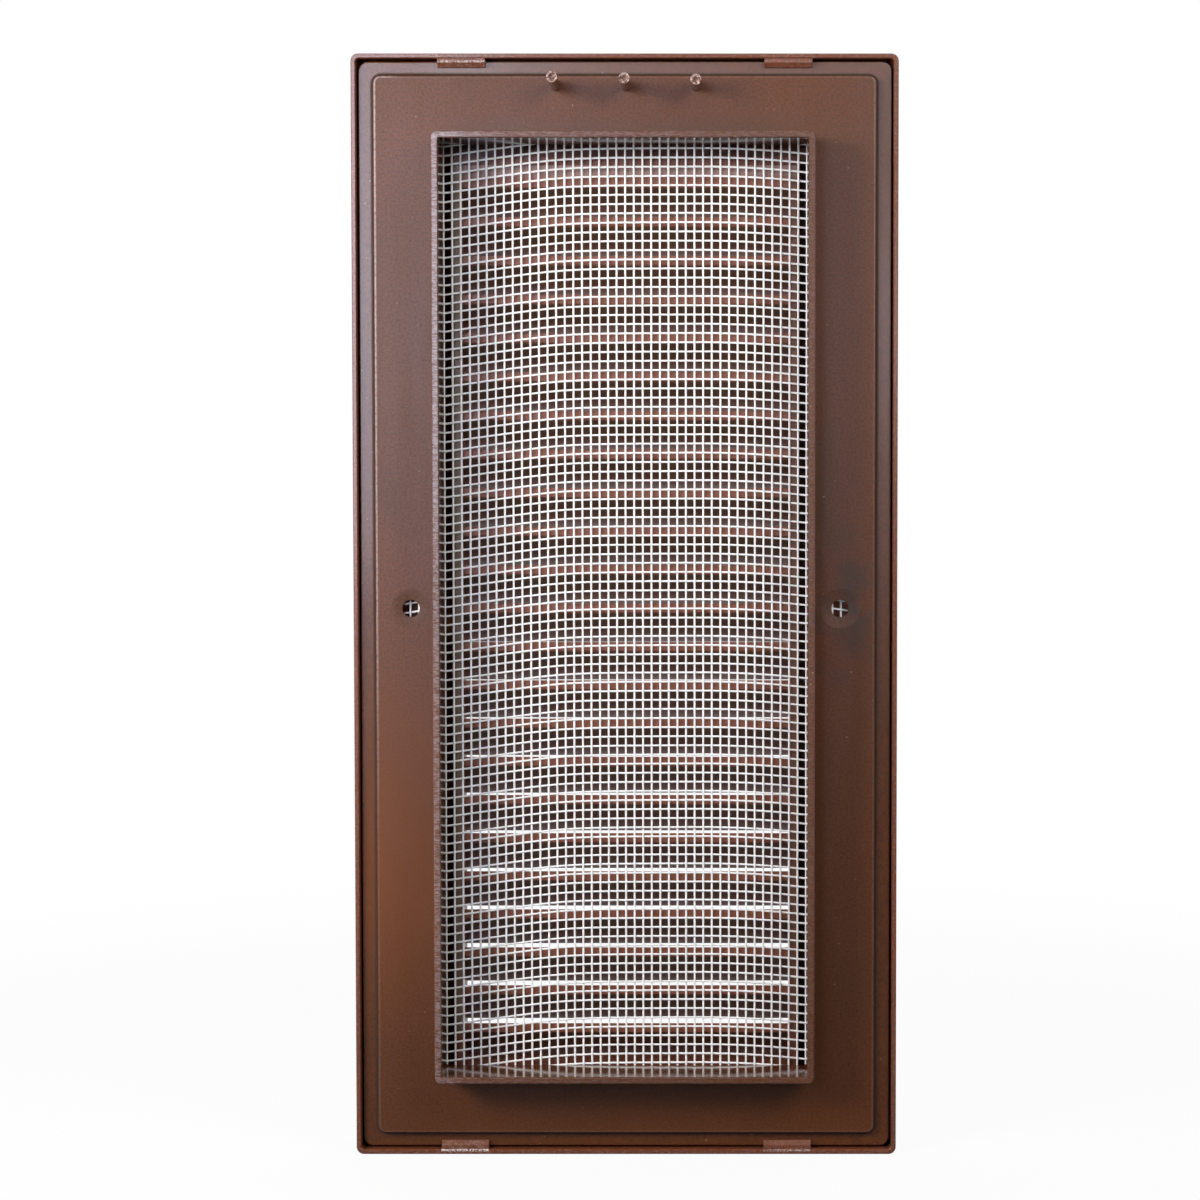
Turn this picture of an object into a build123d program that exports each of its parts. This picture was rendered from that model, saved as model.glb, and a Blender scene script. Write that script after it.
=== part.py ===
"""Louvred wall vent: a clip-on louvre cover, a base frame with a duct collar, and an insect screen between them."""

import math
import os

from build123d import *

# Driving sizes, in millimetres.
# The wall plane is Y = 0. Heights above it point to the duct (+Y), depths below it to the room (-Y).

# Cover
COVER_WIDTH = 148.0
COVER_HEIGHT = 300.0
COVER_DEPTH = 14.0
COVER_CORNER_RADIUS = 2.0
FRONT_EDGE_RADIUS = 1.5
FRONT_PLATE = 2.0
SKIRT_WALL = 1.3
SKIRT_INNER_RADIUS = 1.0
SKIRT_RIM_CHAMFER = 0.25

# Base frame
BASE_SIDE_GAP = 0.45
BASE_END_GAP = 0.6
BASE_CORNER_RADIUS = 2.7
BASE_WALL = 2.0
BAND_SIDE = 3.7
BAND_END = 3.4
BAND_RECESS = 1.8
BAND_EDGE_RADIUS = 0.4
STEP_RUN = 0.8
PANEL_CORNER_RADIUS = 1.8
PANEL_EDGE_RADIUS = 0.4

# Duct collar
FLANGE_SIDE = 16.6
FLANGE_END = 16.2
COLLAR_REACH = 11.5
COLLAR_WALL = 1.9
COLLAR_CORNER_RADIUS = 1.6
COLLAR_ROOT_CHAMFER = 0.5
COLLAR_RIM_CHAMFER = 0.3
DUCT_CORNER_RADIUS = 0.5

# Wall screws
SCREW_FROM_COLLAR = 7.25
SCREW_HOLE_RADIUS = 2.4
SCREW_DISH_RADIUS = 5.4
SCREW_DISH_DEPTH = 0.35

# Gate stubs, left to right as seen from the duct side
STUB_HEIGHTS = (15.0, 13.0, 11.0)
STUB_SPACING = 19.0
STUB_OFFSET = 0.3
STUB_FROM_EDGE = 2.6
STUB_RADIUS = 1.45
STUB_CRATER_RADIUS = 0.45
STUB_CRATER_DEPTH = 0.6
STUB_CRATER_SLOPE = 45.0

# Insect screen
SCREEN_THICKNESS = 0.6
SCREEN_WEB = 0.3
SCREEN_EDGE_GAP = 1.0
SCREEN_SELVEDGE = 3.5
SCREEN_BAR = 1.6
SCREEN_STRAND = 0.55
SCREEN_COLUMNS = 8
SCREEN_ROWS = 15

# Clamp rib
CLAMP_RIB = 1.4
CLAMP_RIB_GAP = 1.6

# Louvre box and blades
BOX_SIDE_GAP = 2.2
BOX_TOP_GAP = 3.0
BOX_FOOT_OVERLAP = 1.7
BOX_WALL = 2.3
BOX_REAR_DEPTH = 4.5
TOP_RAIL = 5.5
TOP_RAIL_WALL = 1.5
BLADE_PITCH = 10.54
BLADE_SLOPE = 45.0
BLADE_EDGE = 2.6
BLADE_SETBACK = 0.6
BLADE_EDGE_RADIUS = 0.15
FIELD_EDGE_CHAMFER = 0.5

# Snap hooks
HOOK_WIDTH = 12.9
HOOK_FROM_SIDE = 29.8
HOOK_REACH = 2.3
HOOK_LAND = 1.1
HOOK_SINK = 0.3
HOOK_NOSE = 0.5
HOOK_CLEARANCE = 0.1

# Sizes that follow from the driving ones
CAVITY_WIDTH = COVER_WIDTH - 2 * SKIRT_WALL
CAVITY_HEIGHT = COVER_HEIGHT - 2 * SKIRT_WALL
CAVITY_DEPTH = COVER_DEPTH - FRONT_PLATE
BASE_WIDTH = CAVITY_WIDTH - 2 * BASE_SIDE_GAP
BASE_HEIGHT = CAVITY_HEIGHT - 2 * BASE_END_GAP
STEP_WIDTH = BASE_WIDTH - 2 * BAND_SIDE
STEP_HEIGHT = BASE_HEIGHT - 2 * BAND_END
STEP_ANGLE = math.degrees(math.atan2(STEP_RUN, BAND_RECESS))
PANEL_WIDTH = STEP_WIDTH - 2 * STEP_RUN
PANEL_HEIGHT = STEP_HEIGHT - 2 * STEP_RUN
POCKET_WIDTH = PANEL_WIDTH - 2 * BASE_WALL
POCKET_HEIGHT = PANEL_HEIGHT - 2 * BASE_WALL
COLLAR_WIDTH = PANEL_WIDTH - 2 * FLANGE_SIDE
COLLAR_HEIGHT = PANEL_HEIGHT - 2 * FLANGE_END
DUCT_WIDTH = COLLAR_WIDTH - 2 * COLLAR_WALL
DUCT_HEIGHT = COLLAR_HEIGHT - 2 * COLLAR_WALL
SCREW_SPACING = COLLAR_WIDTH + 2 * SCREW_FROM_COLLAR
SCREW_DISH_ANGLE = 2 * math.degrees(math.atan2(SCREW_DISH_RADIUS - SCREW_HOLE_RADIUS, SCREW_DISH_DEPTH))
STUB_LEVEL = PANEL_HEIGHT / 2 - STUB_FROM_EDGE

SCREEN_WIDTH = POCKET_WIDTH - 2 * SCREEN_EDGE_GAP
SCREEN_HEIGHT = POCKET_HEIGHT - 2 * SCREEN_EDGE_GAP
SCREEN_FRONT_DEPTH = BASE_WALL + SCREEN_THICKNESS
SCREEN_WEB_DEPTH = BASE_WALL + (SCREEN_THICKNESS - SCREEN_WEB) / 2
GAP_PITCH_X = (SCREEN_WIDTH - 2 * SCREEN_SELVEDGE + SCREEN_BAR) / SCREEN_COLUMNS
GAP_PITCH_Z = (SCREEN_HEIGHT - 2 * SCREEN_SELVEDGE + SCREEN_BAR) / SCREEN_ROWS

CLAMP_WIDTH = POCKET_WIDTH - 2 * CLAMP_RIB_GAP
CLAMP_HEIGHT = POCKET_HEIGHT - 2 * CLAMP_RIB_GAP

BOX_WIDTH = DUCT_WIDTH - 2 * BOX_SIDE_GAP
BOX_TOP = DUCT_HEIGHT / 2 - BOX_TOP_GAP
BOX_FOOT = -DUCT_HEIGHT / 2 - BOX_FOOT_OVERLAP
FIELD_WIDTH = BOX_WIDTH - 2 * BOX_WALL
FIELD_TOP = BOX_TOP - BOX_WALL
BLADE_FRONT_DEPTH = COVER_DEPTH - BLADE_SETBACK
BLADE_DROP = (BLADE_FRONT_DEPTH - BOX_REAR_DEPTH) * math.tan(math.radians(BLADE_SLOPE))
BLADE_TOP = BOX_TOP - TOP_RAIL
BLADE_COUNT = int((BLADE_TOP - BLADE_DROP - BLADE_EDGE - BOX_FOOT) // BLADE_PITCH) + 1
LAST_BLADE_TOP = BLADE_TOP - (BLADE_COUNT - 1) * BLADE_PITCH
FIELD_FOOT = LAST_BLADE_TOP - BLADE_DROP - BLADE_EDGE / 2
HOOK_CENTRE = COVER_WIDTH / 2 - HOOK_FROM_SIDE
HOOK_CATCH_DEPTH = BAND_RECESS - HOOK_CLEARANCE

# The wall plane seen from the duct side: local x runs to the viewer's right, local y is up.
WALL = Plane(origin=(0, 0, 0), x_dir=(-1, 0, 0), z_dir=(0, 1, 0))

os.makedirs("parts", exist_ok=True)


# Base frame: rim band, raised panel, duct collar, screw holes and gate stubs
with BuildPart() as base_frame:
    with BuildSketch(WALL.offset(-BAND_RECESS)):
        RectangleRounded(BASE_WIDTH, BASE_HEIGHT, BASE_CORNER_RADIUS)
    extrude(amount=-BASE_WALL)
    fillet(base_frame.edges().group_by(Axis.Y)[-1], BAND_EDGE_RADIUS)

    # Raised panel, with a sloped step down to the band
    with BuildSketch(WALL.offset(-BAND_RECESS)):
        RectangleRounded(STEP_WIDTH, STEP_HEIGHT, PANEL_CORNER_RADIUS + STEP_RUN)
    extrude(amount=BAND_RECESS, taper=STEP_ANGLE)
    fillet(base_frame.edges().group_by(Axis.Y)[-1], PANEL_EDGE_RADIUS)

    # Collar on the panel, thickened at its root
    with BuildSketch(WALL):
        RectangleRounded(COLLAR_WIDTH, COLLAR_HEIGHT, COLLAR_CORNER_RADIUS)
    extrude(amount=COLLAR_REACH)
    collar_root = (
        base_frame.edges()
        .filter_by_position(Axis.Y, 0, 0)
        .filter_by_position(Axis.X, -COLLAR_WIDTH / 2, COLLAR_WIDTH / 2)
        .filter_by_position(Axis.Z, -COLLAR_HEIGHT / 2, COLLAR_HEIGHT / 2)
    )
    chamfer(collar_root, COLLAR_ROOT_CHAMFER)

    # Pocket behind the panel that takes the screen
    with BuildSketch(WALL.offset(-BASE_WALL)):
        Rectangle(POCKET_WIDTH, POCKET_HEIGHT)
    extrude(amount=-BAND_RECESS, mode=Mode.SUBTRACT)

    # Duct through the collar, with its rim eased
    with BuildSketch(WALL.offset(-BASE_WALL)):
        RectangleRounded(DUCT_WIDTH, DUCT_HEIGHT, DUCT_CORNER_RADIUS)
    extrude(amount=BASE_WALL + COLLAR_REACH, mode=Mode.SUBTRACT)
    chamfer(base_frame.edges().group_by(Axis.Y)[-1], COLLAR_RIM_CHAMFER)

    # Screw holes, each in a shallow dish
    with Locations(WALL), GridLocations(SCREW_SPACING, SCREW_SPACING, 2, 1):
        CounterSinkHole(SCREW_HOLE_RADIUS, SCREW_DISH_RADIUS, counter_sink_angle=SCREW_DISH_ANGLE)

    # Gate stubs, each snapped off with a cratered tip
    for index, stub_height in enumerate(STUB_HEIGHTS):
        stub_place = ((index - (len(STUB_HEIGHTS) - 1) / 2) * STUB_SPACING + STUB_OFFSET, STUB_LEVEL)
        with BuildSketch(WALL):
            with Locations(stub_place):
                Circle(STUB_RADIUS)
        extrude(amount=stub_height)
        with BuildSketch(WALL.offset(stub_height - STUB_CRATER_DEPTH)):
            with Locations(stub_place):
                Circle(STUB_CRATER_RADIUS)
        extrude(amount=STUB_CRATER_DEPTH, taper=-STUB_CRATER_SLOPE, mode=Mode.SUBTRACT)

base_frame.part.label = "base_frame"
export_step(base_frame.part, "parts/base_frame.step")


# Insect screen: one thin wall of gaps, with upright strands proud on its rear and level ones on its front
with BuildPart() as insect_screen:
    with BuildSketch(WALL.offset(-SCREEN_WEB_DEPTH)):
        Rectangle(SCREEN_WIDTH, SCREEN_HEIGHT)
        with GridLocations(GAP_PITCH_X, GAP_PITCH_Z, SCREEN_COLUMNS, SCREEN_ROWS):
            Rectangle(GAP_PITCH_X - SCREEN_BAR, GAP_PITCH_Z - SCREEN_BAR, mode=Mode.SUBTRACT)
    extrude(amount=-SCREEN_WEB)
    with BuildSketch(WALL.offset(-BASE_WALL)):
        with GridLocations(GAP_PITCH_X, GAP_PITCH_Z, SCREEN_COLUMNS + 1, 1):
            Rectangle(SCREEN_STRAND, SCREEN_HEIGHT)
    extrude(amount=BASE_WALL - SCREEN_WEB_DEPTH)
    with BuildSketch(WALL.offset(-SCREEN_FRONT_DEPTH)):
        with GridLocations(GAP_PITCH_X, GAP_PITCH_Z, 1, SCREEN_ROWS + 1):
            Rectangle(SCREEN_WIDTH, SCREEN_STRAND)
    extrude(amount=SCREEN_WEB_DEPTH - BASE_WALL)

insect_screen.part.label = "insect_screen"
export_step(insect_screen.part, "parts/insect_screen.step")


# Louvre cover: tray, clamp rib, louvre box with sloped blades, snap hooks
with BuildPart() as louvre_cover:
    with BuildSketch(WALL):
        RectangleRounded(COVER_WIDTH, COVER_HEIGHT, COVER_CORNER_RADIUS)
    extrude(amount=-COVER_DEPTH)
    fillet(louvre_cover.edges().group_by(Axis.Y)[0], FRONT_EDGE_RADIUS)
    with BuildSketch(WALL):
        RectangleRounded(CAVITY_WIDTH, CAVITY_HEIGHT, SKIRT_INNER_RADIUS)
    extrude(amount=-CAVITY_DEPTH, mode=Mode.SUBTRACT)
    chamfer(louvre_cover.edges().group_by(Axis.Y)[-1], SKIRT_RIM_CHAMFER)

    # Rib that clamps the margin of the screen against the panel
    with BuildSketch(WALL.offset(-SCREEN_FRONT_DEPTH)):
        Rectangle(CLAMP_WIDTH, CLAMP_HEIGHT)
        Rectangle(CLAMP_WIDTH - 2 * CLAMP_RIB, CLAMP_HEIGHT - 2 * CLAMP_RIB, mode=Mode.SUBTRACT)
    extrude(amount=SCREEN_FRONT_DEPTH - CAVITY_DEPTH)

    # Louvre box, open from front to rear
    with BuildSketch(WALL.offset(-BOX_REAR_DEPTH)):
        with Locations((0, (BOX_TOP + BOX_FOOT) / 2)):
            Rectangle(BOX_WIDTH, BOX_TOP - BOX_FOOT)
    extrude(amount=BOX_REAR_DEPTH - CAVITY_DEPTH)
    with BuildSketch(WALL.offset(-BOX_REAR_DEPTH)):
        with Locations((0, (FIELD_TOP + FIELD_FOOT) / 2)):
            Rectangle(FIELD_WIDTH, FIELD_TOP - FIELD_FOOT)
    extrude(amount=BOX_REAR_DEPTH - COVER_DEPTH, mode=Mode.SUBTRACT)
    field_edge = (
        louvre_cover.edges()
        .group_by(Axis.Y)[0]
        .filter_by_position(Axis.X, -FIELD_WIDTH / 2, FIELD_WIDTH / 2)
        .filter_by_position(Axis.Z, FIELD_FOOT, FIELD_TOP)
    )
    chamfer(field_edge, FIELD_EDGE_CHAMFER)

    # Top rail, from the box down to the first blade
    with BuildSketch(WALL.offset(-BOX_REAR_DEPTH)):
        with Locations((0, (FIELD_TOP + BLADE_TOP - BLADE_EDGE) / 2)):
            Rectangle(FIELD_WIDTH, FIELD_TOP - BLADE_TOP + BLADE_EDGE)
    extrude(amount=-TOP_RAIL_WALL)

    # Blades, falling towards the room so that rain runs out
    with BuildSketch(Plane.YZ) as blades:
        with Locations((0, (BLADE_TOP + LAST_BLADE_TOP) / 2)):
            with GridLocations(BLADE_PITCH, BLADE_PITCH, 1, BLADE_COUNT):
                Polygon(
                    (-BOX_REAR_DEPTH, 0),
                    (-BLADE_FRONT_DEPTH, -BLADE_DROP),
                    (-BLADE_FRONT_DEPTH, -BLADE_DROP - BLADE_EDGE),
                    (-BOX_REAR_DEPTH, -BLADE_EDGE),
                    align=None,
                )
        fillet(blades.vertices(), BLADE_EDGE_RADIUS)
    extrude(amount=(FIELD_WIDTH + BOX_WALL) / 2, both=True)

    # Snap hooks on the top and bottom of the skirt, closing over the rim band
    for side in (-1, 1):
        with BuildSketch(Plane.YZ.offset(side * HOOK_CENTRE - HOOK_WIDTH / 2)):
            with Locations((0, CAVITY_HEIGHT / 2)):
                Polygon(
                    (-HOOK_SINK, SKIRT_WALL / 2),
                    (-HOOK_SINK, -HOOK_LAND),
                    (HOOK_NOSE - HOOK_CATCH_DEPTH, -HOOK_REACH),
                    (-HOOK_CATCH_DEPTH, -HOOK_REACH),
                    (-HOOK_CATCH_DEPTH, SKIRT_WALL / 2),
                    align=None,
                )
            mirror(about=Plane.XZ)
        extrude(amount=HOOK_WIDTH)

louvre_cover.part.label = "louvre_cover"
export_step(louvre_cover.part, "parts/louvre_cover.step")
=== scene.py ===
"""Dresses the louvred wall vent: grained brown plastic with its marks, and a white woven insect screen."""

import math

import bpy
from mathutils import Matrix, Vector


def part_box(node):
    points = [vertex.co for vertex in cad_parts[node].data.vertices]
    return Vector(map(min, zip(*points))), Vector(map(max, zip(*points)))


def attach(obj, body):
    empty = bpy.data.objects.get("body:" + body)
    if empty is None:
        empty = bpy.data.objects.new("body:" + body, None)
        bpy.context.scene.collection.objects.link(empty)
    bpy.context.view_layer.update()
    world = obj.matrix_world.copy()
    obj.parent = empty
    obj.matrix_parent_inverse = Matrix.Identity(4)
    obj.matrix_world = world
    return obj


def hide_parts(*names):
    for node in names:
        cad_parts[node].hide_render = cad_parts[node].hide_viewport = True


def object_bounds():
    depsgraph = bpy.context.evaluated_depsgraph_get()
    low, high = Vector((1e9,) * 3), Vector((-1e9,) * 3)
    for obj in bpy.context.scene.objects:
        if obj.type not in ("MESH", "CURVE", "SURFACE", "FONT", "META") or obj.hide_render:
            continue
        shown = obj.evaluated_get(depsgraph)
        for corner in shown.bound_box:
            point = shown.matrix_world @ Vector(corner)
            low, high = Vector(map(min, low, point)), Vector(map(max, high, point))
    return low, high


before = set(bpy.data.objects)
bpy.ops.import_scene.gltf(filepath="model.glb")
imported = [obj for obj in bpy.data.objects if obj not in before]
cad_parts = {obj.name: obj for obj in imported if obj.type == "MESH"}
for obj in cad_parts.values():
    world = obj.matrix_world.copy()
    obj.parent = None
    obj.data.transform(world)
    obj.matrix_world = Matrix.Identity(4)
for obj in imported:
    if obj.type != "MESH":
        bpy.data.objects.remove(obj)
cad_low, cad_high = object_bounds()

MM = 0.001

# Places on the mouldings, in millimetres: the wall plane is y = 0 and the duct lies on the +y side
COLLAR_INNER_X = 49.25
COLLAR_INNER_Z = 125.8
COLLAR_OUTER_X = 51.15
COLLAR_OUTER_Z = 127.7
COLLAR_RIM_Y = 11.5
PANEL_EDGE_X = 67.75
PANEL_EDGE_Z = 143.9
PANEL_CORNER_RADIUS = 1.8
PANEL_EDGE_RADIUS = 0.4
STEP_RUN = 0.8
BAND_Y = -1.8
BASE_WALL = 2.0
SCREW_X = 58.4
SCREW_EDGE_RADIUS = 3.2
SCREW_DISH_RADIUS = 5.4
STUB_Z = 141.3
STUB_MIDDLE_X = -0.3
STUB_MIDDLE_Y = 13.0
STUB_STEP = 2.0 / 19.0
BOX_X = 47.05
BOX_REAR_Y = -4.5
LAST_BLADE_FOOT = -117.2
FIELD_X = 44.75
FIELD_TOP = 120.5
FIELD_FOOT = -124.8
FIELD_FRONT_Y = -13.4
HOOK_INNER_X = 37.75
HOOK_OUTER_X = 50.65
HOOK_Z = 146.4
TEAR_LOW_Z = 148.9
TEAR_RISE = 1.0

# Colours
BASE_BROWN = (0.118, 0.035, 0.0070, 1.0)
BASE_BROWN_WARM = (0.140, 0.039, 0.0088, 1.0)
# painted light colour for the lighter patch low down on one side
BASE_ORANGE_LIT = (0.190, 0.052, 0.0070, 1.0)
COVER_BROWN = (0.185, 0.055, 0.022, 1.0)
COVER_BROWN_WARM = (0.215, 0.061, 0.026, 1.0)
GRAIN_DARK = (0.045, 0.014, 0.004, 1.0)
DUST_SPECK = (0.42, 0.33, 0.28, 1.0)
# colour of grease, also used for painted shade in the screw dishes and above the collar
GREASE_AND_SHADE = (0.045, 0.026, 0.016, 1.0)
# painted shade colour for the step round the panel
STEP_SHADE = (0.030, 0.013, 0.008, 1.0)
# pale colour for scuffs and torn tips, also for painted highlights on the lip, rim and hooks
PALE_SCUFF_AND_GLINT = (0.40, 0.29, 0.26, 1.0)
# painted sheen colour for the band
BAND_SHEEN = (0.235, 0.180, 0.170, 1.0)
TORN_PINK = (0.72, 0.52, 0.44, 1.0)
# white of the torn hook lines, partly painted glints
TORN_WHITE_AND_GLINT = (0.80, 0.74, 0.72, 1.0)
# pale colour for the rim's saw marks and its painted sheen
RIM_SCUFF_AND_SHEEN = (0.42, 0.35, 0.37, 1.0)
# painted light colour for the blades' lit rear edges
BLADE_EDGE_LIT = (0.32, 0.110, 0.058, 1.0)
BLADE_DUST = (0.22, 0.17, 0.12, 1.0)
# painted shade colour for the blade undersides
BLADE_UNDERSIDE_SHADE = (0.085, 0.047, 0.022, 1.0)
BOX_RIM_OLIVE = (0.21, 0.155, 0.095, 1.0)
# pale colour for dust along the top rail and for painted reflected light under the blades
FRONT_DUST_AND_LIGHT = (0.46, 0.39, 0.37, 1.0)
STRAND_WHITE = (0.93, 0.93, 0.92, 1.0)
STRAND_GREY = (0.74, 0.73, 0.71, 1.0)
FLOOR_PALE = (0.75, 0.75, 0.75, 1.0)
FLOOR_SHADE = (0.12, 0.12, 0.12, 1.0)
AMBIENT_TINT = (0.97, 0.98, 1.0, 1.0)
WHITE = (1.0, 1.0, 1.0, 1.0)


# Shader nodes. In the values below, a noise is its scale, detail and roughness, and a range is where a mask
# starts and ends, in millimetres for places and from 0 to 1 for noises

MIX_SHARE, MIX_UNDER, MIX_OVER, MIX_COLOUR = 0, 6, 7, 2


class Channel:
    """One output of a shader node. Arithmetic on it adds Math nodes."""

    def __init__(self, finish, socket):
        self.finish = finish
        self.socket = socket

    def maths(self, operation, first, second=0.0):
        return self.finish.add("Math", {"operation": operation}, {0: first, 1: second})

    def __add__(self, other):
        return self.maths("ADD", self, other)

    def __radd__(self, other):
        return self.maths("ADD", other, self)

    def __sub__(self, other):
        return self.maths("SUBTRACT", self, other)

    def __rsub__(self, other):
        return self.maths("SUBTRACT", other, self)

    def __mul__(self, other):
        return self.maths("MULTIPLY", self, other)

    def __rmul__(self, other):
        return self.maths("MULTIPLY", other, self)

    def __neg__(self):
        return self.maths("MULTIPLY", self, -1.0)

    def __abs__(self):
        return self.maths("ABSOLUTE", self)

    def __or__(self, other):
        """The larger of two masks."""
        return self.maths("MAXIMUM", self, other)

    def change(self, shape, start, end):
        inputs = {"Value": self, "From Min": start, "From Max": end}
        return self.finish.add("MapRange", {"interpolation_type": shape}, inputs, "Result")

    def above(self, start, end):
        """0 below start, 1 above end, with a soft change between them."""
        return self.change("SMOOTHSTEP", start, end)

    def below(self, start, end):
        """1 below start, 0 above end, with a soft change between them."""
        return 1.0 - self.above(start, end)

    def ramp(self, start, end):
        """0 below start, 1 above end, with a straight change between them."""
        return self.change("LINEAR", start, end)

    def between(self, low, high):
        """A value that is low where the mask is 0 and high where it is 1."""
        return low + (high - low) * self


class Finish:
    """The shader nodes of one material or of the world."""

    def __init__(self, tree):
        self.tree = tree
        self.tree.nodes.clear()

    def add(self, kind, settings=None, inputs=None, output=0):
        """Adds a node, sets it up, fills its sockets and gives back one of its outputs."""
        node = self.tree.nodes.new("ShaderNode" + kind)
        for name, value in (settings or {}).items():
            setattr(node, name, value)
        for name, value in (inputs or {}).items():
            if isinstance(value, Channel):
                self.tree.links.new(value.socket, node.inputs[name])
            else:
                node.inputs[name].default_value = value
        return Channel(self, node.outputs[output]) if node.outputs else None

    def stretched(self, place, scale, turn=(0.0, 0.0, 0.0)):
        return self.add("Mapping", {}, {"Vector": place, "Rotation": turn, "Scale": scale})

    def millimetres(self):
        """Place on the piece, in millimetres."""
        place = self.add("TexCoord", output="Object")
        return self.stretched(place, (1 / MM, 1 / MM, 1 / MM))

    def axes(self, place):
        return [self.add("SeparateXYZ", {}, {"Vector": place}, axis) for axis in "XYZ"]

    def noise(self, place, scale, detail, roughness):
        inputs = {"Vector": place, "Scale": scale, "Detail": detail, "Roughness": roughness}
        return self.add("TexNoise", {}, inputs, "Fac")

    def length(self, first, second):
        """Length of a flat vector with the two sides given."""
        sides = self.add("CombineXYZ", {}, {"X": first, "Y": second})
        return self.add("VectorMath", {"operation": "LENGTH"}, {0: sides}, "Value")

    def blend(self, share, under, over):
        """Two colours mixed by a share."""
        inputs = {MIX_SHARE: share, MIX_UNDER: under, MIX_OVER: over}
        return self.add("Mix", {"data_type": "RGBA"}, inputs, MIX_COLOUR)

    def bump(self, height, strength, distance):
        inputs = {"Strength": strength, "Distance": distance * MM, "Height": height}
        return self.add("Bump", {}, inputs, "Normal")


def new_material(name):
    material = bpy.data.materials.new(name)
    material.use_nodes = True
    return material, Finish(material.node_tree)


# Plastic of the mouldings

GRAIN_NOISE = (1.4, 4.0, 0.75)
GRAIN_RANGE = (0.40, 0.66)
BASE_GRAININESS = 0.68
COVER_GRAININESS = 0.55
DRIFT_NOISE = (0.022, 3.0, 0.5)
DRIFT_RANGE = (0.30, 0.70)
FLOW_STRETCH = (0.22, 0.22, 0.012)
FLOW_NOISE = (1.0, 4.0, 0.6)
SMEAR_STRETCH = (0.05, 0.05, 0.018)
SMEAR_NOISE = (1.0, 5.0, 0.6)
SMEAR_RANGE = (0.56, 0.74)
SMEAR_SHARE = 0.30
SPECK_NOISE = (0.9, 1.0, 0.5)
SPECK_RANGE = (0.765, 0.81)
SPECK_SHARE = 0.6
NOISE_MIDDLE = 0.5
PLASTIC_ROUGHNESS = 0.38
FLOW_ROUGHNESS = 0.16
SMEAR_ROUGHNESS = 0.16
GRAIN_ROUGHNESS = 0.20
GRAIN_HEIGHT = 0.9
FLOW_HEIGHT = 0.25
PLASTIC_BUMP_STRENGTH = 0.55
PLASTIC_BUMP_DISTANCE = 0.10
PLASTIC_SPECULAR = 0.60
GLOSS_ROUGHNESS = 0.14


class Plastic:
    """Moulded plastic of one piece. Marks change its colour, roughness, height and gloss one by one."""

    def __init__(self, name, brown, brown_warm, graininess):
        """Starts with fine grain, flow marks, smears of grease and specks of dust."""
        self.material, self.finish = new_material(name)
        self.place = self.finish.millimetres()
        self.x, self.y, self.z = self.finish.axes(self.place)
        self.off_x = abs(self.x)
        self.off_z = abs(self.z)
        self.depth = -self.y

        grain = self.noise(GRAIN_NOISE)
        drift = self.noise(DRIFT_NOISE)
        flow = self.noise(FLOW_NOISE, FLOW_STRETCH)
        smear = self.noise(SMEAR_NOISE, SMEAR_STRETCH)
        speck = self.noise(SPECK_NOISE)
        self.colour = self.finish.blend(drift.above(*DRIFT_RANGE), brown, brown_warm)
        self.tint(grain.above(*GRAIN_RANGE) * graininess, GRAIN_DARK)
        self.tint(smear.above(*SMEAR_RANGE) * SMEAR_SHARE, GREASE_AND_SHADE)
        self.tint(speck.above(*SPECK_RANGE) * SPECK_SHARE, DUST_SPECK)
        self.roughness = (
            PLASTIC_ROUGHNESS
            + (flow - NOISE_MIDDLE) * FLOW_ROUGHNESS
            + (smear - NOISE_MIDDLE) * SMEAR_ROUGHNESS
            + (grain - NOISE_MIDDLE) * GRAIN_ROUGHNESS
        )
        self.height = grain * GRAIN_HEIGHT + flow * FLOW_HEIGHT
        self.gloss = None

    def noise(self, noise, stretch=None, turn=(0.0, 0.0, 0.0)):
        place = self.finish.stretched(self.place, stretch, turn) if stretch else self.place
        return self.finish.noise(place, *noise)

    def tint(self, share, colour):
        # blends a colour in by a share: real stains, and painted light and shade as well
        self.colour = self.finish.blend(share, self.colour, colour)

    def polish(self, share):
        self.gloss = self.gloss | share if self.gloss else share

    def finished(self):
        """The material, with its surface made from all the marks."""
        surface = self.finish.add("BsdfPrincipled", {}, {
            "Base Color": self.colour,
            "Roughness": self.roughness,
            "Normal": self.finish.bump(self.height, PLASTIC_BUMP_STRENGTH, PLASTIC_BUMP_DISTANCE),
            "Coat Weight": self.gloss,
            "Coat Roughness": GLOSS_ROUGHNESS,
            "Specular IOR Level": PLASTIC_SPECULAR,
        })
        self.finish.add("OutputMaterial", {}, {"Surface": surface})
        return self.material


# Marks on the base frame

# Painted light: where the lighter patch low down on one side lies
LIT_PATCH_ACROSS = (35.0, 60.0)
LIT_PATCH_FOOT = (-125.0, -75.0)
LIT_PATCH_HEAD = (-65.0, 10.0)
LIT_PATCH_SHARE = 0.65


def lighter_side_painted(base):
    """Painted light: the plastic is drawn lighter and more orange low down on one side, where the light
    falls brightest.
    """
    lit_patch = base.x.above(*LIT_PATCH_ACROSS) * base.z.above(*LIT_PATCH_FOOT) * base.z.below(*LIT_PATCH_HEAD)
    base.tint(lit_patch * LIT_PATCH_SHARE, BASE_ORANGE_LIT)


MIDDLE = (-1.0, 1.0)
DISH_EDGE = (SCREW_DISH_RADIUS - 0.4, SCREW_DISH_RADIUS + 0.4)
DISH_SOFTENING = 2.3
DISH_SHADE = 0.20
DISH_ROUGHNESS = 0.16
SMUDGE_NOISE = (0.12, 4.0, 0.5)
SMUDGE_RANGE = (0.40, 0.62)
SMUDGE_REACH = (4.0, 17.0)
SMUDGE_SQUEEZE = 0.6
SMUDGE_SHARE = 0.70


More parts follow.
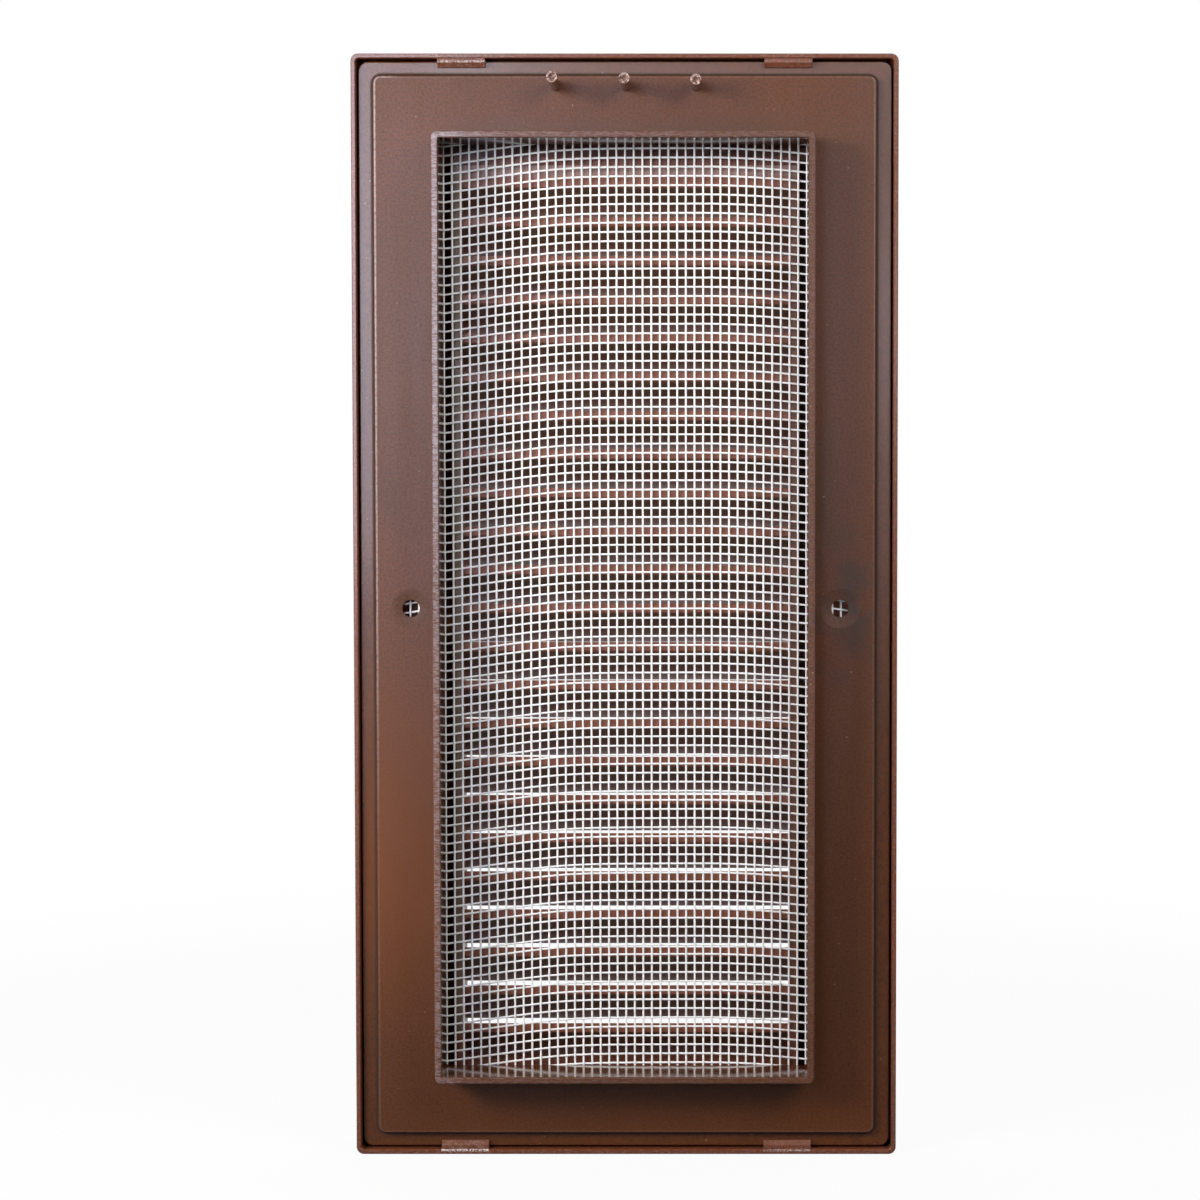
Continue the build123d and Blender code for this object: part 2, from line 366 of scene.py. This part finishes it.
def screw_dishes(base):
    """The dish of one screw hole runs out softly, both dishes are painted darker as shade, and grease is
    smeared round the other hole.
    """
    reach = base.finish.length(base.off_x - SCREW_X, base.z)
    dish = reach.below(*DISH_EDGE)
    run_out = reach.ramp(SCREW_EDGE_RADIUS, SCREW_DISH_RADIUS)
    softened = (1.0 - run_out * run_out) * base.x.above(*MIDDLE)
    around = base.finish.length(base.x + SCREW_X, base.z * SMUDGE_SQUEEZE)
    smudge = base.noise(SMUDGE_NOISE).above(*SMUDGE_RANGE) * around.below(*SMUDGE_REACH)
    # grease smudge round one hole, and painted shade inside both dishes
    base.tint(smudge * SMUDGE_SHARE | dish * DISH_SHADE, GREASE_AND_SHADE)
    base.roughness = base.roughness + dish * DISH_ROUGHNESS
    base.height = base.height + softened * DISH_SOFTENING


# Painted shadow above the collar
SHADOW_FOOT = (COLLAR_OUTER_Z - 0.3, COLLAR_OUTER_Z)
SHADOW_HEAD = (COLLAR_OUTER_Z + 1.0, COLLAR_OUTER_Z + 8.0)
SHADOW_ENDS = (36.0, 54.0)
SHADOW_OUT = (0.5, 1.0)
SHADOW_SHARE = 0.32


def painted_shadow_above_collar(base):
    """Painted shadow: the panel just above the collar is darkened as the collar's shadow."""
    shadow_band = base.z.above(*SHADOW_FOOT) * base.z.below(*SHADOW_HEAD)
    shadow_band = shadow_band * base.off_x.below(*SHADOW_ENDS) * base.y.below(*SHADOW_OUT)
    base.tint(shadow_band * SHADOW_SHARE, GREASE_AND_SHADE)


DUCT_ACROSS = (COLLAR_INNER_X + 0.05, COLLAR_INNER_X + 0.2)
DUCT_UP = (COLLAR_INNER_Z + 0.05, COLLAR_INNER_Z + 0.2)
DUCT_FRONT = (BASE_WALL - 0.2, BASE_WALL)
DUCT_SMOOTHNESS = 0.22
DUCT_FLATNESS = 0.85


def drawn_duct(base):
    """The drawn inner walls of the collar are smooth and glossy."""
    duct = base.off_x.below(*DUCT_ACROSS) * base.off_z.below(*DUCT_UP) * base.depth.below(*DUCT_FRONT)
    base.roughness = base.roughness - duct * DUCT_SMOOTHNESS
    base.height = base.height * (1.0 - duct * DUCT_FLATNESS)
    base.polish(duct)


MARGIN_START = (-0.6, -0.3)
LIP_DEPTH = (0.5 * PANEL_EDGE_RADIUS, 0.9 * PANEL_EDGE_RADIUS)
LIP_SMOOTHNESS = 0.06
STEP_DEPTH = (0.8 * PANEL_EDGE_RADIUS, 1.4 * PANEL_EDGE_RADIUS)
STEP_SHARE = 0.75
STEP_ROUGHNESS = 0.30
BAND_DEPTH = (-BAND_Y - 0.08, -BAND_Y - 0.01)
BAND_ROUGHNESS = 0.30
BAND_GLOSS = 0.55
BAND_SHEEN_UP = (-80.0, 100.0)
BAND_SHEEN_ACROSS = (40.0, 60.0)
BAND_SHEEN_SHARE = 0.30
FOOT_RUN = (STEP_RUN + 0.1, STEP_RUN + 0.6)
GLINT_NOISE = (0.8, 3.0, 0.6)
GLINT_RANGE = (0.20, 0.60)
GLINT_ACROSS = (60.0, 66.0)
GLINT_UP = (-80.0, 20.0)
GLINT_SHARE = (0.15, 0.75)


def panel_step(base):
    """The step round the panel and the foot of the band are painted dark as shade, the lip carries a
    painted highlight, and the band a painted sheen towards the top and one side.
    """
    past_x = (base.off_x - (PANEL_EDGE_X - PANEL_CORNER_RADIUS)) | 0.0
    past_z = (base.off_z - (PANEL_EDGE_Z - PANEL_CORNER_RADIUS)) | 0.0
    past_edge = base.finish.length(past_x, past_z) - PANEL_CORNER_RADIUS
    margin = past_edge.above(*MARGIN_START)
    lip = margin * base.depth.below(*LIP_DEPTH)
    band = margin * base.depth.above(*BAND_DEPTH)
    foot = band * past_edge.below(*FOOT_RUN)
    step = (margin * base.depth.above(*STEP_DEPTH) - band) | foot
    painted_light = base.z.above(*BAND_SHEEN_UP) * base.x.below(*BAND_SHEEN_ACROSS)
    lip_glint = (base.x.above(*GLINT_ACROSS) * base.z.above(*GLINT_UP)).between(*GLINT_SHARE)
    # painted sheen on the band, towards the top and away from one side
    base.tint(band * painted_light * BAND_SHEEN_SHARE, BAND_SHEEN)
    # painted shade in the step and along the foot of the band
    base.tint(step * STEP_SHARE, STEP_SHADE)
    # painted highlight along the lip, strongest on the upper part of one side
    base.tint(lip * base.noise(GLINT_NOISE).above(*GLINT_RANGE) * lip_glint, PALE_SCUFF_AND_GLINT)
    base.roughness = base.roughness * (1.0 - band) + band * BAND_ROUGHNESS
    base.roughness = base.roughness - lip * LIP_SMOOTHNESS + step * STEP_ROUGHNESS
    base.polish((band - foot) * BAND_GLOSS)


COLLAR_ACROSS = (COLLAR_OUTER_X, COLLAR_OUTER_X + 0.4)
COLLAR_UP = (COLLAR_OUTER_Z, COLLAR_OUTER_Z + 0.4)
COLLAR_END = (COLLAR_RIM_Y - 0.30, COLLAR_RIM_Y - 0.05)
SAW_SLANT = (0.0, math.radians(35.0), 0.0)
SAW_STRETCH = (0.8, 1.0, 3.2)
SAW_NOISE = (1.0, 3.0, 0.6)
SAW_RANGE = (0.35, 0.65)
RIM_PALENESS = 0.10
RIM_SHEEN_SLOPE = 0.2
RIM_SHEEN_RANGE = (-60.0, 60.0)
RIM_SHEEN_UPPER = 0.12
RIM_SHEEN_ACROSS = (40.0, 50.0)
RIM_SHEEN_LEFT = 0.26
RIM_GLOSS_ACROSS = (30.0, 48.0)
RIM_GLOSS = (0.10, 0.70)


def sawn_rim(base):
    """The rim of the collar is sawn off with pale saw marks, glossier on one side, and carries a painted
    sheen that is paler towards the top and one side.
    """
    collar = base.off_x.below(*COLLAR_ACROSS) * base.off_z.below(*COLLAR_UP)
    rim = collar * base.y.above(*COLLAR_END)
    saw = base.noise(SAW_NOISE, SAW_STRETCH, SAW_SLANT)
    scuff_and_sheen = (
        RIM_PALENESS
        + RIM_SHEEN_UPPER * (base.x + base.z * RIM_SHEEN_SLOPE).above(*RIM_SHEEN_RANGE)
        + RIM_SHEEN_LEFT * base.x.above(*RIM_SHEEN_ACROSS)
    )
    # pale saw marks with painted sheen, paler towards the top and one side
    base.tint(rim * saw.above(*SAW_RANGE) * scuff_and_sheen, RIM_SCUFF_AND_SHEEN)
    base.height = base.height + rim * saw
    base.polish(rim * base.x.above(*RIM_GLOSS_ACROSS).between(*RIM_GLOSS))


STUB_FOOT = (STUB_Z - 4.0, STUB_Z - 3.0)
STUB_OUT = (0.3, 0.8)
STUB_SMOOTHNESS = 0.12
STUB_GLOSS = 0.8
TIP_RANGE = (-0.7, -0.2)
TIP_ROUGHNESS = 0.2
TIP_HEIGHT = 2.2
PIT_NOISE = (1.6, 3.0, 0.6)
TIP_SCUFF_RANGE = (0.30, 0.60)
TIP_SCUFF_SHARE = 0.8
TIP_TORN_RANGE = (0.50, 0.60)
TIP_TORN_SHARE = 0.8
TIP_DARK_RANGE = (0.36, 0.46)
TIP_DARK_SHARE = 0.6


def snapped_stubs(base):
    """The stubs are glossy, with rough pale tips where they were snapped off."""
    tip_y = STUB_MIDDLE_Y + (base.x - STUB_MIDDLE_X) * STUB_STEP
    high = base.z.above(*STUB_FOOT)
    tip = (base.y - tip_y).above(*TIP_RANGE) * high
    stub = high * base.y.above(*STUB_OUT)
    pit = base.noise(PIT_NOISE)
    base.tint(tip * pit.above(*TIP_SCUFF_RANGE) * TIP_SCUFF_SHARE, PALE_SCUFF_AND_GLINT)
    base.tint(tip * pit.above(*TIP_TORN_RANGE) * TIP_TORN_SHARE, TORN_PINK)
    base.tint(tip * pit.below(*TIP_DARK_RANGE) * TIP_DARK_SHARE, GRAIN_DARK)
    base.roughness = base.roughness + tip * TIP_ROUGHNESS - stub * STUB_SMOOTHNESS
    base.height = base.height + tip * pit * TIP_HEIGHT
    base.polish((stub - tip) * STUB_GLOSS)


def base_plastic():
    """Brown plastic of the base frame."""
    base = Plastic("brown_base_plastic", BASE_BROWN, BASE_BROWN_WARM, BASE_GRAININESS)
    lighter_side_painted(base)
    screw_dishes(base)
    painted_shadow_above_collar(base)
    drawn_duct(base)
    panel_step(base)
    sawn_rim(base)
    snapped_stubs(base)
    return base.finished()


# Marks on the louvre cover

BROAD_MIDDLE = (-10.0, 10.0)
FIELD_LOW = (FIELD_FOOT - 0.1, FIELD_FOOT + 0.1)
FIELD_HIGH = (FIELD_TOP - 0.1, FIELD_TOP + 0.1)
FIELD_ACROSS = (FIELD_X, FIELD_X + 0.2)
FIELD_REAR = (BOX_REAR_Y + 0.3, BOX_REAR_Y + 0.6)
DOWNWARD = (0.2, 0.5)
UNDERSIDE_SHADE_RANGE = (FIELD_FRONT_Y + 1.5, FIELD_FRONT_Y + 6.0)
UNDERSIDE_SHADE_SHARE = 0.75
WIDE_GLOW_RANGE = (FIELD_FRONT_Y, FIELD_FRONT_Y + 4.5)
WIDE_GLOW_SHARE = 0.55
NEAR_GLOW_RANGE = (FIELD_FRONT_Y, FIELD_FRONT_Y + 2.0)
NEAR_GLOW_SHARE = 0.40
SETTLED_NOISE = (0.35, 4.0, 0.6)
SETTLED_RANGE = (0.35, 0.75)
SETTLED_SHARE = 0.16
BOX_ACROSS = (BOX_X, BOX_X + 0.2)
BOX_SIDE = (FIELD_X - 0.1, FIELD_X + 0.1)
EDGE_FOOT = (LAST_BLADE_FOOT - 0.6, LAST_BLADE_FOOT)
EDGE_REAR = (BOX_REAR_Y - 0.5, BOX_REAR_Y - 0.2)
EDGE_LIT_SHARE = 0.7
OLIVE_SHARE = (0.25, 0.80)
TOP_RAIL = (FIELD_TOP - 4.0, FIELD_TOP - 2.0)
TOP_RAIL_DUST = 0.4


def louvre_blades(cover):
    """Blades are painted dark underneath as shade and pale near their front as reflected light, with
    settled dust, dust along the top rail and painted lit edges facing the duct. The box round them is
    olive.
    """
    level = cover.z.above(*FIELD_LOW) * cover.z.below(*FIELD_HIGH)
    front = cover.y.below(*FIELD_REAR)
    field = level * cover.off_x.below(*FIELD_ACROSS) * front
    _, _, upward = cover.finish.axes(cover.finish.add("NewGeometry", output="Normal"))
    shaded = field * (-upward).above(*DOWNWARD)
    painted_light = (
        WIDE_GLOW_SHARE * cover.y.below(*WIDE_GLOW_RANGE)
        + NEAR_GLOW_SHARE * cover.y.below(*NEAR_GLOW_RANGE)
    )
    # painted shade on the down-facing faces of the blades
    cover.tint(shaded * cover.y.above(*UNDERSIDE_SHADE_RANGE) * UNDERSIDE_SHADE_SHARE, BLADE_UNDERSIDE_SHADE)
    # painted reflected light near the front of each underside
    cover.tint(shaded * painted_light, FRONT_DUST_AND_LIGHT)
    cover.tint(field * cover.noise(SETTLED_NOISE).above(*SETTLED_RANGE) * SETTLED_SHARE, BLADE_DUST)

    box = level * cover.off_x.below(*BOX_ACROSS) * cover.z.above(*EDGE_FOOT)
    edge = box * cover.y.above(*EDGE_REAR) * front
    side = cover.off_x.above(*BOX_SIDE)
    olive = cover.x.above(*BROAD_MIDDLE).between(*OLIVE_SHARE)
    # painted light on the blades' rear edges facing the duct
    cover.tint(edge * (1.0 - side) * EDGE_LIT_SHARE, BLADE_EDGE_LIT)
    cover.tint(edge * side * olive, BOX_RIM_OLIVE)
    cover.tint(edge * cover.z.above(*TOP_RAIL) * TOP_RAIL_DUST, FRONT_DUST_AND_LIGHT)


SKIRT_RIM = (-0.35, -0.15)
SKIRT_RIM_SPECKLE = 0.26
SKIRT_RIM_SMOOTHNESS = 0.08
SKIRT_RIM_HEIGHT = 0.8
SKIRT_RIM_GLOSS = 0.8
HOOK_INNER = (HOOK_INNER_X - 0.2, HOOK_INNER_X)
HOOK_OUTER = (HOOK_OUTER_X, HOOK_OUTER_X + 0.2)
HOOK_END = (HOOK_Z - 0.2, HOOK_Z)
HOOK_OUT = (BAND_Y, BAND_Y + 0.2)
HOOK_SPECKLE = (0.14, 0.40)
HOOK_ROUGHNESS = 0.06
HOOK_HEIGHT = 2.0
TORN_STRETCH = (0.9, 1.6, 1.6)
TORN_NOISE = (1.0, 4.0, 0.7)
TORN_RANGE = (0.45, 0.70)
TEAR_HALF_WIDTH = (0.15, 0.40)
BEAD_NOISE = (2.2, 1.0, 0.5)
BEAD_RANGE = (0.40, 0.55)
TEAR_WHITENESS = 0.08
TEAR_GLINT_SIDE = 0.40
TEAR_WHITER_FOOT = 0.37


def skirt_rim_and_hooks(cover):
    """Rim and hooks carry pale speckle, partly scuffing where the mould parted and partly painted
    highlights, and each hook has a torn white line, partly painted glints.
    """
    rim = cover.y.above(*SKIRT_RIM)
    hook = (
        cover.off_x.above(*HOOK_INNER)
        * cover.off_x.below(*HOOK_OUTER)
        * cover.off_z.above(*HOOK_END)
        * cover.y.above(*HOOK_OUT)
    )
    left = cover.x.above(*BROAD_MIDDLE)
    torn = cover.noise(TORN_NOISE, TORN_STRETCH)
    speckle = rim * SKIRT_RIM_SPECKLE | hook * left.between(*HOOK_SPECKLE)
    # pale speckle: partly scuffing, partly painted highlights that are stronger on the left hooks
    cover.tint(speckle * torn.above(*TORN_RANGE), PALE_SCUFF_AND_GLINT)

    from_tear = abs(cover.off_z - TEAR_LOW_Z + TEAR_RISE * cover.z.above(*MIDDLE))
    tear = hook * from_tear.below(*TEAR_HALF_WIDTH)
    whiteness = TEAR_WHITENESS + TEAR_GLINT_SIDE * left + TEAR_WHITER_FOOT * cover.z.below(*BROAD_MIDDLE)
    # torn white line, partly real whitening and partly painted glints stronger on the left
    cover.tint(tear * cover.noise(BEAD_NOISE).above(*BEAD_RANGE) * whiteness, TORN_WHITE_AND_GLINT)
    cover.roughness = cover.roughness - rim * SKIRT_RIM_SMOOTHNESS + hook * HOOK_ROUGHNESS
    cover.height = cover.height + (rim * SKIRT_RIM_HEIGHT + hook * HOOK_HEIGHT) * torn
    cover.polish(rim * SKIRT_RIM_GLOSS)


def cover_plastic():
    """Redder brown plastic of the louvre cover."""
    cover = Plastic("brown_cover_plastic", COVER_BROWN, COVER_BROWN_WARM, COVER_GRAININESS)
    louvre_blades(cover)
    skirt_rim_and_hooks(cover)
    return cover.finished()


def dress(node, material):
    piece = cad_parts[node]
    piece.data.materials.clear()
    piece.data.materials.append(material)


# Insect screen, with its weave in millimetres

WARP_PITCH = 2.35
WEFT_PITCH = 2.50
WARP_WIDTH = 0.62
WEFT_WIDTH = 0.60
STRAND_THICKNESS = 0.30
STRAND_SWING = 0.15
STRAND_SIDES = 6
WAVE_STEPS = 4
SPARE_WAVES = 2
SPARE_PAIRS = 1
JOIN_GAP = 0.01
NEAR_SHARE = 0.01
SAG_LEFT_START = 17.0
SAG_LEFT_SLOPE = 0.145
SAG_SOFTNESS = 10.0
SAG_RIGHT_START = -20.0
SAG_RIGHT_CURVE = 0.0019
DULL_NOISE = (0.9, 3.0, 0.6)
DULL_RANGE = (0.50, 0.85)
DULL_SHARE = 0.35
PATCH_NOISE = (0.05, 3.0, 0.5)
STRAND_ROUGHNESS = (0.40, 0.60)
STRAND_BUMP_STRENGTH = 0.3
STRAND_BUMP_DISTANCE = 0.03


def white_strand():
    """White coated strands, a little grey where dirt has rubbed on."""
    material, finish = new_material("white_coated_strand")
    place = finish.millimetres()
    dull = finish.noise(place, *DULL_NOISE)
    surface = finish.add("BsdfPrincipled", {}, {
        "Base Color": finish.blend(dull.above(*DULL_RANGE) * DULL_SHARE, STRAND_WHITE, STRAND_GREY),
        "Roughness": finish.noise(place, *PATCH_NOISE).between(*STRAND_ROUGHNESS),
        "Normal": finish.bump(dull, STRAND_BUMP_STRENGTH, STRAND_BUMP_DISTANCE),
    })
    finish.add("OutputMaterial", {}, {"Surface": surface})
    return material


def repeat(piece, count, step, join=False):
    """Copies a piece along a step and joins the copies into its mesh."""
    array = piece.modifiers.new("repeat", "ARRAY")
    array.count = count
    array.use_relative_offset = False
    array.use_constant_offset = True
    array.constant_offset_displace = step
    array.use_merge_vertices = join
    array.merge_threshold = JOIN_GAP * MM
    bpy.ops.object.modifier_apply(modifier=array.name)


def select_edges(piece, wanted):
    """Leaves selected, in edit mode, just the edges whose two ends pass the test."""
    bpy.ops.object.mode_set(mode="EDIT")
    bpy.ops.mesh.select_mode(type="EDGE")
    bpy.ops.mesh.select_all(action="DESELECT")
    bpy.ops.object.mode_set(mode="OBJECT")
    points = piece.data.vertices
    for edge in piece.data.edges:
        first, last = edge.vertices
        edge.select = wanted(points[first].co, points[last].co)
    bpy.ops.object.mode_set(mode="EDIT")


def strand_wave(name, width, wave):
    """One wave of an upright strand: over one crossing strand and under the next."""
    bpy.ops.object.select_all(action="DESELECT")
    bpy.ops.mesh.primitive_cylinder_add(
        vertices=STRAND_SIDES, radius=MM / 2, depth=wave * MM, end_fill_type="NOTHING"
    )
    strand = bpy.context.object
    strand.name = name
    bpy.ops.object.mode_set(mode="EDIT")
    bpy.ops.transform.resize(value=(width, STRAND_THICKNESS, 1.0))
    half = wave * MM / 2
    near = NEAR_SHARE * wave * MM
    select_edges(strand, lambda a, b: abs(a.z - b.z) > half)
    bpy.ops.mesh.subdivide(number_cuts=WAVE_STEPS - 1)
    select_edges(strand, lambda a, b: abs(a.z) < near and abs(b.z) < near)
    bpy.ops.transform.translate(value=(0.0, -STRAND_SWING * MM, 0.0))
    select_edges(strand, lambda a, b: abs(abs(a.z) - half) < near and abs(abs(b.z) - half) < near)
    bpy.ops.transform.translate(value=(0.0, STRAND_SWING * MM, 0.0))
    bpy.ops.mesh.select_all(action="SELECT")
    return strand


def sag(x):
    """How far the weave hangs below level at a place across the sheet, in millimetres."""
    left = x - SAG_LEFT_START
    right = max(SAG_RIGHT_START - x, 0.0)
    return SAG_LEFT_SLOPE * (left + math.hypot(left, SAG_SOFTNESS)) / 2 + SAG_RIGHT_CURVE * right**2


def trim(low, high):
    """Cuts the strands off square at the edges of the sheet."""
    for axis in (0, 2):
        for end, side in ((low, -1.0), (high, 1.0)):
            normal = [0.0, 0.0, 0.0]
            normal[axis] = side
            bpy.ops.mesh.select_all(action="SELECT")
            bpy.ops.mesh.bisect(plane_co=end, plane_no=normal, use_fill=True, clear_outer=True)


def woven_strands(name, width, pitch, wave, upright, white):
    """All the strands that run one way: a wave repeated along, doubled out of step, repeated across."""
    low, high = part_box("insect_screen")
    strand = strand_wave(name, width, wave)
    if not upright:
        bpy.ops.transform.rotate(value=math.pi / 2, orient_axis="Y", center_override=(0.0, 0.0, 0.0))
    bpy.ops.object.mode_set(mode="OBJECT")
    size = (high - low) / MM
    spare = 2 * max(sag(low.x / MM), sag(high.x / MM))
    along, across = (size.z + spare, size.x) if upright else (size.x, size.z + spare)
    waves = math.ceil(along / wave) + SPARE_WAVES
    pairs = math.ceil(across / (2 * pitch)) + SPARE_PAIRS

    lengthways = Vector((0.0, 0.0, wave * MM)) if upright else Vector((wave * MM, 0.0, 0.0))
    sideways = Vector((pitch * MM, 0.0, 0.0)) if upright else Vector((0.0, 0.0, pitch * MM))
    repeat(strand, waves, lengthways, join=True)
    bpy.ops.object.mode_set(mode="EDIT")
    bpy.ops.mesh.select_all(action="SELECT")
    bpy.ops.mesh.duplicate()
    bpy.ops.transform.translate(value=sideways + lengthways / 2)
    bpy.ops.object.mode_set(mode="OBJECT")
    repeat(strand, pairs, 2 * sideways)

    # Level strands start half a wave on, so that each passes behind where an upright one passes in front
    start = (low + high) / 2 - lengthways * (waves // 2) - sideways * 2 * (pairs // 2)
    if not upright:
        start += lengthways / 2
    for point in strand.data.vertices:
        point.co += start
        point.co.z -= sag(point.co.x / MM) * MM

    bpy.ops.object.mode_set(mode="EDIT")
    trim(low, high)
    bpy.ops.object.mode_set(mode="OBJECT")
    bpy.ops.object.shade_smooth()
    strand.data.materials.append(white)
    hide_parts("insect_screen")
    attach(strand, "root")


def insect_screen():
    white = white_strand()
    woven_strands("screen_warp", WARP_WIDTH, WARP_PITCH, 2 * WEFT_PITCH, True, white)
    woven_strands("screen_weft", WEFT_WIDTH, WEFT_PITCH, 2 * WARP_PITCH, False, white)


# Studio, in metres, watts and degrees

CAMERA_PLACE = (-0.0245, 0.650, 0.0366)
CAMERA_DIP = 2.2
CAMERA_LENS = 71.76
CAMERA_SENSOR = 36.0
CAMERA_SHIFT = (-0.0962, -0.0284)
CAMERA_NEAREST = 0.01

# Name, place, target, width, power, colour and spread of each light
LIGHTS = (
    ("key", (0.46, 0.36, 0.20), (0.0, 0.0, 0.0), 0.26, 3.6, (1.0, 0.97, 0.93), 180.0),
    ("sheen", (0.22, 0.66, 0.14), (0.06, 0.0, 0.05), 0.34, 0.160, (0.78, 0.82, 1.0), 50.0),
    ("fill", (-0.33, 0.35, 0.28), (0.0, 0.0, 0.04), 0.30, 1.62, (1.0, 1.0, 1.0), 180.0),
    ("side_sheen", (-0.18, 0.66, 0.12), (-0.07, 0.0, 0.06), 0.14, 0.011, (0.80, 0.86, 1.0), 50.0),
)

WORLD_BEHIND = (-0.1, 0.3)
AMBIENT_ALL_ROUND = 0.02
AMBIENT_ABOVE = 0.08
AMBIENT_ABOVE_RANGE = (-0.2, 0.8)
AMBIENT_BEHIND = 0.90
AMBIENT_BEHIND_RANGE = (0.0, 0.5)
FLOOR_SIZE = 8.0
FLOOR_BEHIND = (0.0, 0.15)
FLOOR_FADE = (0.20, 0.50)
FLOOR_GLOW = (0.93, 1.0)


def soft_light(name, place, target, width, power, colour, spread):
    bpy.ops.object.light_add(type="AREA", location=place)
    light = bpy.context.object
    light.name = name
    light.data.shape = "DISK"
    light.data.size = width
    light.data.energy = power
    light.data.color = colour
    light.data.spread = math.radians(spread)
    light.rotation_euler = (Vector(target) - light.location).to_track_quat("-Z", "Y").to_euler()


def backdrop_rays(finish, behind):
    """1 for the rays that see the background: straight, through a gap, or mirrored from behind the vent."""
    straight = finish.add("LightPath", output="Is Camera Ray")
    mirrored = finish.add("LightPath", output="Is Glossy Ray")
    through = finish.add("LightPath", output="Is Transmission Ray")
    return straight | through | mirrored * behind


def white_world():
    """A white background, with soft light from above and from behind the vent."""
    world = bpy.data.worlds.new("studio")
    world.use_nodes = True
    bpy.context.scene.world = world
    finish = Finish(world.node_tree)
    _, y, z = finish.axes(finish.add("TexCoord", output="Generated"))
    strength = (
        AMBIENT_ALL_ROUND
        + AMBIENT_ABOVE * z.above(*AMBIENT_ABOVE_RANGE)
        + AMBIENT_BEHIND * (-y).above(*AMBIENT_BEHIND_RANGE)
    )
    ambient = finish.add("Background", {}, {"Color": AMBIENT_TINT, "Strength": strength})
    white = finish.add("Background", {}, {"Color": WHITE, "Strength": 1.0})
    seen = backdrop_rays(finish, (-y).above(*WORLD_BEHIND))
    sky = finish.add("MixShader", {}, {0: seen, 1: ambient, 2: white})
    finish.add("OutputWorld", {}, {"Surface": sky})


def pale_floor():
    """A floor that looks white to the camera and sends little light up into the duct side."""
    bpy.ops.mesh.primitive_plane_add(size=FLOOR_SIZE, location=(0.0, 0.0, cad_low.z))
    floor = bpy.context.object
    floor.name = "floor"
    material, finish = new_material("pale_floor")
    place = finish.add("TexCoord", output="Object")
    _, y, _ = finish.axes(place)
    away = finish.add("VectorMath", {"operation": "LENGTH"}, {0: place}, "Value")
    straight = finish.add("LightPath", output="Is Camera Ray")
    behind = (-y).above(*FLOOR_BEHIND)
    shade = finish.blend(straight | behind, FLOOR_SHADE, FLOOR_PALE)
    paint = finish.add("BsdfDiffuse", {}, {"Color": shade})
    glow = finish.add("Emission", {}, {"Color": WHITE, "Strength": 1.0})
    seen = backdrop_rays(finish, behind) * away.above(*FLOOR_FADE).between(*FLOOR_GLOW)
    surface = finish.add("MixShader", {}, {0: seen, 1: paint, 2: glow})
    finish.add("OutputMaterial", {}, {"Surface": surface})
    floor.data.materials.append(material)


def studio():
    white_world()
    pale_floor()
    for light in LIGHTS:
        soft_light(*light)
    bpy.ops.object.camera_add(
        location=CAMERA_PLACE, rotation=(math.radians(90.0 - CAMERA_DIP), 0.0, math.pi)
    )
    camera = bpy.context.object
    camera.data.lens = CAMERA_LENS
    camera.data.sensor_width = CAMERA_SENSOR
    camera.data.shift_x, camera.data.shift_y = CAMERA_SHIFT
    camera.data.clip_start = CAMERA_NEAREST
    bpy.context.scene.camera = camera
    bpy.context.scene.view_settings.view_transform = "Standard"


insect_screen()
dress("base_frame", base_plastic())
dress("louvre_cover", cover_plastic())
studio()
